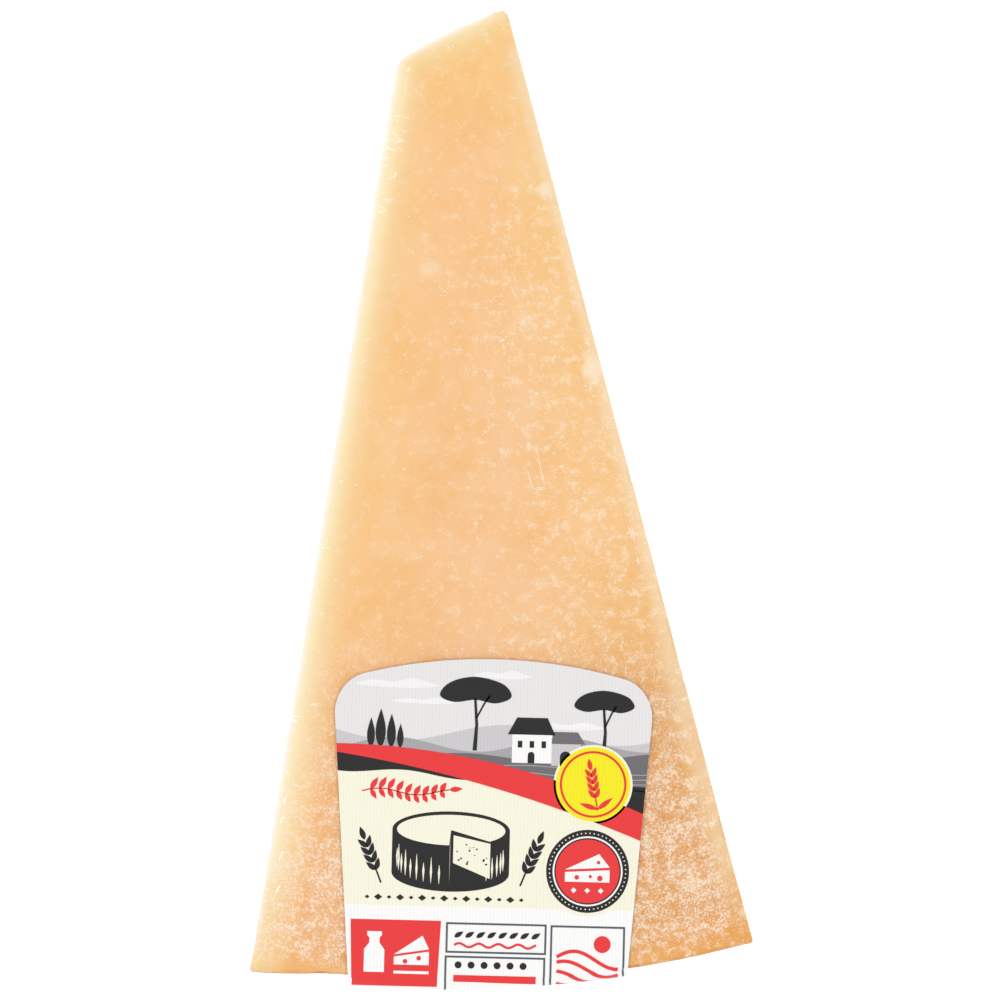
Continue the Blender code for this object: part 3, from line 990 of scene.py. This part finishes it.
def leaf(base, angle, length, width):
    shares = np.linspace(0, 1, 9)[:, None]
    half = width / 2 * np.sin(math.pi * shares**0.8)
    along, side = np.array([math.cos(angle), math.sin(angle)]), np.array([-math.sin(angle), math.cos(angle)])
    middle = np.asarray(base) + along * length * shares
    return np.vstack([middle - side * half, (middle + side * half)[-2:0:-1]])


outlineFlat = labelOutline()


# Cuts a shape off at the label's own edge.
def onLabel(points):
    kept = [np.asarray(p, float) for p in points]
    for start, end in zip(outlineFlat, np.roll(outlineFlat, -1, axis=0)):
        along = end - start
        inside = [along[0] * (p[1] - start[1]) - along[1] * (p[0] - start[0]) >= 0 for p in kept]
        made = []
        for k, point in enumerate(kept):
            if inside[k] != inside[k - 1]:
                made.append(crossing(start, along, kept[k - 1], point - kept[k - 1]))
            if inside[k]:
                made.append(point)
        kept = made
    return np.array(kept)


def curveRow(shape, first=-32.0, last=32.0, count=49):
    s = np.linspace(first, last, count)
    return np.column_stack([s, shape(s)])


def bandTop(s):
    return 39.09 - 0.2093 * s - 0.0039 * s**2


def bandBottom(s):
    return 34.745 - 0.2704 * s - 0.00239 * s**2


def between(upper, lower):
    return onLabel(np.vstack([curveRow(lower), curveRow(upper)[::-1]]))


def wheatEar(ink, layer, base, angle, pairs, size, stem):
    along = np.array([math.cos(angle), math.sin(angle)])
    draw(ink, layer, stroke([np.asarray(base) + along * f for f in (0, stem * 0.5, stem)], size * 0.14))
    for k in range(pairs + 1):
        foot = np.asarray(base) + along * (stem + k * size * 0.62)
        if k == pairs:
            draw(ink, layer, leaf(foot, angle, size * 1.1, size * 0.45))
        else:
            for turn in (0.55, -0.55):
                draw(ink, layer, leaf(foot, angle + turn, size, size * 0.42))


treeCrown = [(-0.5, 0.0), (-0.3, -0.10), (0.0, -0.05), (0.28, -0.11), (0.5, 0.01)]
treeCrown += [(0.42, 0.22), (0.2, 0.34), (-0.05, 0.38), (-0.3, 0.31), (-0.46, 0.17)]


def pine(layer, foot, tall, wide):
    x, y = foot
    trunk = [(x, y), (x + 0.25, y + tall * 0.4), (x - 0.1, y + tall * 0.8)]
    fork = (x + wide * 0.12, y + tall * 0.72)
    branch = [(x + 0.2, y + tall * 0.5), fork, (x + wide * 0.2, y + tall * 0.85)]
    draw("black", layer, stroke(trunk, (0.75, 0.5, 0.42)))
    draw("black", layer, stroke(branch, 0.3))
    draw("black", layer, rounded([(x + a * wide, y + tall * 0.82 + b * wide * 0.75) for a, b in treeCrown]))


def drawPicture():
    draw("sky", 1, between(lambda s: 0 * s + 62, bandTop))
    puff = [(-1, 0), (-0.6, 0.7), (-0.1, 0.45), (0.3, 1.0), (0.75, 0.4), (1, 0), (0.5, -0.4), (-0.4, -0.35)]
    clouds = ((-17, 52.5, 7.5, 1.2), (-12, 49.6, 6.0, 0.8), (14, 45.6, 6.5, 1.0), (1.5, 54.4, 5.0, 1.1))
    for x, y, wide, tall in clouds:
        draw("cloud", 2, onLabel(rounded([(x + a * wide, y + b * tall) for a, b in puff])))
    draw("haze", 3, between(lambda s: 44.2 + 1.6 * np.sin(s * 0.16 + 1.2), bandTop))
    draw("hill", 4, between(lambda s: 42.3 + 1.3 * np.sin(s * 0.21 - 1.0) + 0.02 * s, bandTop))
    draw("field", 5, between(lambda s: 39.9 + 0.9 * np.sin(s * 0.17 + 2.6) + 0.02 * s, bandTop))
    draw("black", 6, between(lambda s: 36.2 - 0.05 * s + 0.5 * np.sin(s * 0.3), bandTop))
    for row in range(4):
        low = 38.6 - row * 1.15
        furrow = curveRow(lambda s: low + 0.35 * np.sin(s * 0.2 + row) - 0.03 * s, 2 + 3 * row, 30)
        draw("hill", 6, onLabel(stroke(furrow, 0.16)))
    pine(7, (-3.2, 41.2), 11.5, 12.5)
    pine(7, (19.6, 40.6), 10.6, 10.5)
    for x, tall in ((-21.6, 5.4), (-19.9, 7.0), (-18.0, 6.1), (-16.4, 4.4)):
        draw("black", 7, leaf((x, 41.2), math.pi / 2, tall, tall * 0.26))
    # farmhouse with a barn
    draw("white", 7, block(3.4, 10.4, 39.2, 44.4))
    draw("haze", 7, block(10.4, 15.6, 38.8, 42.8))
    draw("black", 8, [(2.6, 44.2), (11.0, 44.2), (9.6, 47.2), (4.2, 47.2)])
    draw("field", 8, [(10.4, 42.7), (16.3, 42.7), (15.0, 44.8), (10.7, 44.8)])
    for x in (4.4, 6.5, 8.6):
        draw("black", 8, block(x, x + 0.8, 41.9, 43.1))
    draw("black", 8, np.vstack([block(6.2, 7.4, 39.2, 40.6)[:2], oval((6.8, 40.6), 0.6, 0.6, 0, 180, 9)]))
    draw("black", 8, np.vstack([block(11.9, 13.9, 38.8, 40.4)[:2], oval((12.9, 40.4), 1.0, 1.0, 0, 180, 11)]))


def drawEmblem():
    (x, y), wide, deep, tall = (-7.0, 27.0), 10.4, 3.3, 7.6
    low = (x, y - tall)
    draw("black", 3, np.vstack([oval((x, y), wide, deep, 0, 180, 30), oval(low, wide, deep, 180, 360, 30)]))
    draw("cream", 4, oval((x, y), wide - 0.8, deep - 0.6))
    # the missing wedge, with its two cut faces
    rim = oval((x, y), wide - 0.3, deep - 0.2, -92, -42, 9)
    draw("black", 5, np.vstack([[(x, y)], rim]))
    left, right = rim[0] + (0.2, 0.0), rim[-1] - (0.5, 0.0)
    draw("cream", 6, [(x - 0.1, y - 0.6), (x - 0.1, y - 5.6), left - (0, tall - 0.9), left - (0, 0.3)])
    draw("cream", 6, [(x + 0.45, y - 0.9), right - (0, 0.2), right - (0, tall - 1.2), (x + 0.45, y - 5.8)])
    pick = random.Random(2)
    for _ in range(16):
        f, g = pick.random(), pick.random()
        draw("black", 7, disc((x + 1.0 + f * 5.4, y - 1.9 - 0.25 * f - g * 4.0), pick.uniform(0.1, 0.22), 8))
    # shine on the rind, left and right of the cut
    marks = [(angle, 3.2, 4.6 + 1.2 * (k % 2)) for k, angle in enumerate(range(186, 266, 9))]
    marks += [(angle, 3.0, 5.0) for angle in range(312, 352, 9)]
    for angle, widest, top in marks:
        foot = oval(low, wide - 0.9, deep, angle, angle + 1, 2)[0]
        draw("cream", 4, stroke([foot + (0, rise) for rise in (1.2, widest, top)], (0.05, 0.4, 0.05)))
    wheatEar("black", 3, (-19.2, 17.4), math.radians(112), 4, 2.3, 2.4)
    wheatEar("black", 3, (5.4, 17.4), math.radians(68), 4, 2.3, 2.4)
    # a red laurel branch above, and a row of lozenges below
    branch = [(-23.0 + 1.55 * k, 33.6 + 0.55 * math.sin(k * 0.75)) for k in range(11)]
    draw("red", 3, stroke(branch, [0.25] * 11))
    for k, (x, y) in enumerate(branch[1:-1]):
        draw("red", 3, leaf((x, y), math.radians(58), 2.5 - 0.08 * k, 1.0))
        draw("red", 3, leaf((x, y), math.radians(-58), 2.1 - 0.08 * k, 0.9))
    draw("red", 3, leaf(branch[-1], 0.1, 2.4, 0.95))
    for k in range(15):
        x = -21.6 + k * 1.95
        size = 0.75 if k % 2 else 0.45
        draw("black", 3, lozenge(x, 14.9, size, size * 0.75))


medallion = {"at": (17.3, 20.3), "radius": 7.35, "beads": 56, "beadRadius": 0.13}


def drawRounds():
    sun = (17.9, 35.7)
    draw("cream", 8, disc(sun, 7.0))
    draw("yellow", 9, disc(sun, 6.6))
    draw("red", 10, disc(sun, 5.9), disc(sun, 5.5))
    wheatEar("red", 10, (sun[0] + 0.9, sun[1] - 4.6), math.radians(101), 4, 2.0, 2.2)
    for side in (1, -1):
        draw("red", 10, leaf((sun[0] + 0.9, sun[1] - 4.4), math.radians(101 - side * 62), 3.4, 0.9))
    at, radius = medallion["at"], medallion["radius"]
    draw("cream", 8, disc(at, radius + 0.55))
    draw("black", 9, disc(at, radius))
    draw("white", 10, disc(at, radius - 1.15), disc(at, radius - 1.45))
    draw("red", 10, disc(at, radius - 1.7))
    x, y = at
    # a wedge with holes over three lozenges
    draw("white", 11, [(x - 4.0, y - 1.9), (x + 3.9, y - 1.9), (x + 3.9, y + 0.3), (x - 4.0, y - 0.2)])
    draw("white", 11, [(x - 4.0, y + 0.25), (x + 3.9, y + 0.75), (x + 2.0, y + 3.1)])
    for dx, dy, r in ((-1.9, -1.1, 0.42), (0.5, -0.9, 0.3), (2.2, -1.2, 0.5), (1.9, 1.6, 0.32)):
        draw("red", 12, disc((x + dx, y + dy), r, 16))
    for dx in (-2.4, 0.0, 2.4):
        draw("white", 11, lozenge(x + dx, y - 3.4, 0.5, 0.5))


def frameRing(left, right, bottom, top, width=0.34):
    return block(left, right, bottom, top), block(left + width, right - width, bottom + width, top - width)


def drawFoot():
    draw("cream", 2, between(bandBottom, lambda s: 0 * s + 13.5))
    draw("red", 3, [(-24.4, 10.9), (-24.0, -0.7), (-8.9, -0.7), (-8.4, 10.9)])
    # a churn and a wedge on the red block
    half = [(1.8, 1.6), (1.8, 5.6), (0.9, 6.8), (0.9, 7.7), (1.3, 8.1), (1.3, 8.8)]
    draw("white", 4, [(-20.1 + x, y) for x, y in half] + [(-20.1 - x, y) for x, y in half[::-1]])
    draw("white", 4, [(-16.6, 3.0), (-10.4, 3.0), (-10.4, 5.4), (-16.6, 4.4)])
    draw("white", 4, [(-16.6, 4.8), (-10.4, 5.8), (-11.6, 8.2)])
    draw("white", 4, block(-16.6, -10.4, 1.4, 1.9))
    for x, y in ((-14.6, 3.6), (-12.2, 4.2)):
        draw("red", 5, disc((x, y), 0.42, 14))
    for edges in ((-7.5, 10.3, 5.3, 10.7), (-7.6, 10.2, -6.5, 4.8), (11.0, 24.2, -6.5, 10.6)):
        draw("slate", 3, *frameRing(*edges))
    for k in range(8):
        draw("black", 3, leaf((-6.0 + k * 1.95, 8.1), math.radians(32), 1.9, 0.85))
    draw("red", 3, stroke([(-6.0 + 0.5 * k, 6.7 + 0.35 * math.sin(k * 0.9)) for k in range(30)], 0.42))
    for k in range(6):
        draw("black", 3, disc((-5.2 + k * 2.3, 3.2), 0.62, 18))
    draw("red", 3, block(-6.0, 8.6, 0.2, 1.4))
    # sun over hills in the last box
    draw("red", 3, disc((20.2, 7.4), 1.5, 28))
    for k in range(4):
        low, swing, shift = 4.6 - 1.6 * k, 1.5 - 0.2 * k, 0.7 * k
        hill = curveRow(lambda s: low + swing * np.sin((s - 11.5) * 0.42 + shift), 12.2, 23.1, 25)
        draw("red", 3, stroke(hill, 0.62))
    # plain rules on the part that lies on the rind
    draw("red", 3, onLabel(block(-30, 30, -9.4, -8.4)))
    for k in range(7):
        draw("slate", 3, block(-19.5, -1.5 if k % 3 else -4.5, -12.4 - k * 2.1, -12.05 - k * 2.1))
    draw("slate", 3, *frameRing(2.5, 18.5, -25.5, -11.6))
    for k in range(5):
        draw("black", 3, leaf((5.0 + 2.4 * k, -22.5), math.pi / 2, 7.6 - abs(k - 2) * 1.3, 1.5))


# A point of the flat label, so high above the cheese, folded over the edge and down the rind.
def foldPoint(s, t, height):
    bend = wedge["frontRounding"][0]
    reach = wedge["wheelRadius"] + labelShape["standOff"]
    flatReach = reach - bend
    x, y = labelToPlan((s, t))
    radius, angle = math.hypot(x, y), math.atan2(x, -y)
    past = radius - flatReach
    if past <= 0:
        return (x, y, wedge["thickness"] + height)
    angle = labelShape["footAngle"] + (angle - labelShape["footAngle"]) * radius / reach
    turn = min(past / bend, math.pi / 2)
    drop = max(0.0, past - bend * math.pi / 2)
    z = wedge["thickness"] - bend + (bend + height) * math.cos(turn) - drop
    share = min(1.0, max(0.0, z / wedge["thickness"]))
    bulge = wedge["rindBulge"] * 4 * share * (1 - share)
    x, y = polar(flatReach + (bend + height) * math.sin(turn) + bulge, angle)
    return (x, y, z)


def addPlate(bm, rings, low, high):
    loops = [[Vector((p[0], p[1], 0)) for p in ring] for ring in rings]
    flat = [p for loop in loops for p in loop]
    bottom = [bm.verts.new((p.x, p.y, low)) for p in flat]
    top = [bm.verts.new((p.x, p.y, high)) for p in flat]
    for a, b, c in geometry.tessellate_polygon(loops):
        if (flat[b] - flat[a]).cross(flat[c] - flat[a]).z < 0:
            b, c = c, b
        bm.faces.new((top[a], top[b], top[c]))
        bm.faces.new((bottom[a], bottom[c], bottom[b]))
    start = 0
    for ring in rings:
        area = sum(ring[k - 1][0] * ring[k][1] - ring[k][0] * ring[k - 1][1] for k in range(len(ring)))
        outer = (area > 0) == (ring is rings[0])
        for k in range(len(ring)):
            a, b = start + k, start + (k + 1) % len(ring)
            if not outer:
                a, b = b, a
            bm.faces.new((bottom[a], bottom[b], top[b], top[a]))
        start += len(ring)


def cutAcross(bm, axis, at):
    normal = Vector((1, 0, 0)) if axis == 0 else Vector((0, 1, 0))
    everything = bm.verts[:] + bm.edges[:] + bm.faces[:]
    bmesh.ops.bisect_plane(bm, geom=everything, plane_co=normal * at, plane_no=normal, dist=1e-5)


def foldedMesh(name, plates, flatStep):
    bm = bmesh.new()
    for rings, low, high in plates:
        addPlate(bm, rings, low, high)
    reach = paperLook["foldReach"]
    tops = [v.co.y for v in bm.verts]
    sides = [v.co.x for v in bm.verts]
    step = paperLook["rindCut"]
    cuts = list(np.arange(-reach, reach, paperLook["foldCut"]))
    cuts += list(np.arange(-labelShape["tail"] + step, -reach, step))
    if flatStep:
        cuts += list(np.arange(reach, labelShape["height"], flatStep))
    for t in cuts:
        if min(tops) < t < max(tops):
            cutAcross(bm, 1, t)
    if min(tops) < reach:
        for s in np.arange(-28, 28.1, flatStep or step):
            if min(sides) < s < max(sides):
                cutAcross(bm, 0, s)
    uv = bm.loops.layers.uv.new("flat")
    for face in bm.faces:
        for loop in face.loops:
            loop[uv].uv = (loop.vert.co.x / 10, loop.vert.co.y / 10)
    for vert in bm.verts:
        vert.co = Vector(toWorld(foldPoint(*vert.co)))
    mesh = bpy.data.meshes.new(name)
    bm.to_mesh(mesh)
    bm.free()
    return mesh


def paperMaterial(name, rgb, roughness):
    material, tree, shader = newMaterial(name)
    place = addNode(tree, "ShaderNodeUVMap", uv_map="flat").outputs[0]
    place = addNode(tree, "ShaderNodeMapping", {"Vector": place, "Scale": (10, 10, 10)}).outputs[0]
    apart = addNode(tree, "ShaderNodeSeparateXYZ", {0: place})
    wander = noiseTexture(tree, place, 0.5, 2)
    laid = calc(tree, "MULTIPLY", apart.outputs[0], 2 * math.pi / paperLook["laidSpacing"])
    lines = calc(tree, "SINE", calc(tree, "MULTIPLY_ADD", wander, 3.0, laid))
    fibre = noiseTexture(tree, place, 3.0, 3, 0.6)
    shade = calc(tree, "ADD", calc(tree, "MULTIPLY", lines, 0.5), fibre)
    base = color(*rgb)
    dark = tuple(channel * paperLook["laidShade"] for channel in base[:3]) + (1.0,)
    tint = mixColor(tree, ramp(tree, shade, 0.9, 0.1), base, dark)
    setInputs(tree, shader, {"Base Color": tint, "Normal": bump(tree, shade, 0.2, 0.00008)})
    setInputs(tree, shader, {"Roughness": roughness, "Specular IOR Level": 0.35})
    return material


# A ring of small round beads, made with nodes and laid flat on the face.
def beadRing(material):
    tree, start, names = newTree("beads", RingRadius="Float", BeadRadius="Float", Beads="Int")
    inputs = {"Resolution": start["Beads"], "Radius": start["RingRadius"]}
    circle = addNode(tree, "GeometryNodeCurvePrimitiveCircle", inputs)
    spots = addNode(tree, "GeometryNodeCurveToPoints", {"Curve": circle.outputs[0]}, mode="EVALUATED")
    inputs = {"Vertices": 8, "Radius": start["BeadRadius"], "Depth": 0.04 * mm}
    bead = addNode(tree, "GeometryNodeMeshCylinder", inputs)
    inputs = {"Points": spots.outputs[0], "Instance": bead.outputs["Mesh"]}
    endTree(tree, addNode(tree, "GeometryNodeInstanceOnPoints", inputs).outputs[0], material)
    mesh = grow(
        "medallionBeads",
        bpy.data.meshes.new("beadHost"),
        (tree, names),
        RingRadius=(medallion["radius"] - 0.6) * mm,
        BeadRadius=medallion["beadRadius"] * mm,
        Beads=medallion["beads"],
    )
    top = paperLook["above"] + paperLook["thick"] + 10 * paperLook["layer"]
    centre = Vector(toWorld(foldPoint(*medallion["at"], top)))
    for vert in mesh.vertices:
        vert.co += centre
    return mesh


def finishLabelPiece(name, mesh, material):
    piece = addPiece(name, mesh, [material])
    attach(piece, "root")
    return piece


def makeLabel():
    low, high = paperLook["above"], paperLook["above"] + paperLook["thick"]
    sheet = foldedMesh("labelPaper", [([outlineFlat], low, high)], 2.0)
    paper = finishLabelPiece("labelPaper", sheet, paperMaterial("labelPaper", inks["white"], 0.5))
    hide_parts("label")
    drawPicture()
    draw("red", 8, between(bandTop, bandBottom))
    drawFoot()
    drawEmblem()
    drawRounds()
    for ink, shapes in printed.items():
        name = ink + "Ink"
        plates = [(rings, high - 0.02, high + layer * paperLook["layer"]) for layer, rings in shapes]
        if plates:
            finishLabelPiece(name, foldedMesh(name, plates, 0), paperMaterial(name, inks[ink], 0.42))
    beads = beadRing(bpy.data.materials["creamInk"])
    beads.uv_layers.new(name="flat")
    finishLabelPiece("medallionBeads", beads, bpy.data.materials["creamInk"])
    print("label:", sum(len(shapes) for shapes in printed.values()), "printed shapes")


makeLabel()


studio = {
    "floor": (0.86, 0.86, 0.86, 1.0),
    "floorGlow": 0.45,
    "world": 0.78,
    # place in metres from the middle of the cheese, watts, size
    "lamps": [
        ((-0.95, 0.75, 1.25), 4.0, 0.3),
        ((1.0, 0.7, 1.2), 3.0, 0.4),
        ((-0.8, -0.9, 1.2), 2.6, 0.5),
        ((0.9, -0.95, 1.2), 2.6, 0.5),
    ],
}


def makeStudio():
    bm = bmesh.new()
    bmesh.ops.create_grid(bm, x_segments=1, y_segments=1, size=4.0)
    mesh = bpy.data.meshes.new("floor")
    bm.to_mesh(mesh)
    bm.free()
    material, tree, shader = newMaterial("paleFloor")
    setInputs(tree, shader, {"Base Color": studio["floor"], "Roughness": 0.8})
    setInputs(tree, shader, {"Emission Color": (1, 1, 1, 1), "Emission Strength": studio["floorGlow"]})
    floor = addPiece("floor", mesh, [material])
    for place, watts, size in studio["lamps"]:
        lamp = bpy.data.lights.new("softLamp", "AREA")
        lamp.energy, lamp.size = watts, size
        holder = bpy.data.objects.new("softLamp", lamp)
        holder.location = place
        holder.rotation_euler = (-Vector(place)).to_track_quat("-Z", "Y").to_euler()
        bpy.context.scene.collection.objects.link(holder)
    world = bpy.data.worlds.new("studio")
    world.use_nodes = True
    tree = world.node_tree
    setInputs(tree, tree.nodes["Background"], {0: (1, 1, 1, 1), 1: studio["world"]})
    bpy.context.scene.world = world
    bpy.context.scene.view_settings.view_transform = "Standard"


cameraSetup = {
    "roll": math.radians(2.79),
    "fromFace": 740.0,
    "frameWidth": 177.0,
    # the wheel's centre as seen from the middle of the frame: right and up
    "centreSeen": (-10.14, 129.29),
}


def makeCamera():
    roll = cameraSetup["roll"]
    right = np.array([math.cos(roll), -math.sin(roll)])
    up = np.array([math.sin(roll), math.cos(roll)])
    acrossSeen, upSeen = cameraSetup["centreSeen"]
    target = wheelCentre[:2] + (-acrossSeen * right - upSeen * up)
    camera = bpy.data.cameras.new("camera")
    camera.sensor_width = 36
    camera.lens = 36 * cameraSetup["fromFace"] / cameraSetup["frameWidth"]
    holder = bpy.data.objects.new("camera", camera)
    holder.location = (target[0] * mm, target[1] * mm, (wedge["thickness"] + cameraSetup["fromFace"]) * mm)
    holder.rotation_euler = (0, 0, -roll)
    bpy.context.scene.collection.objects.link(holder)
    bpy.context.scene.camera = holder


makeStudio()
makeCamera()
print("studio and camera ready")
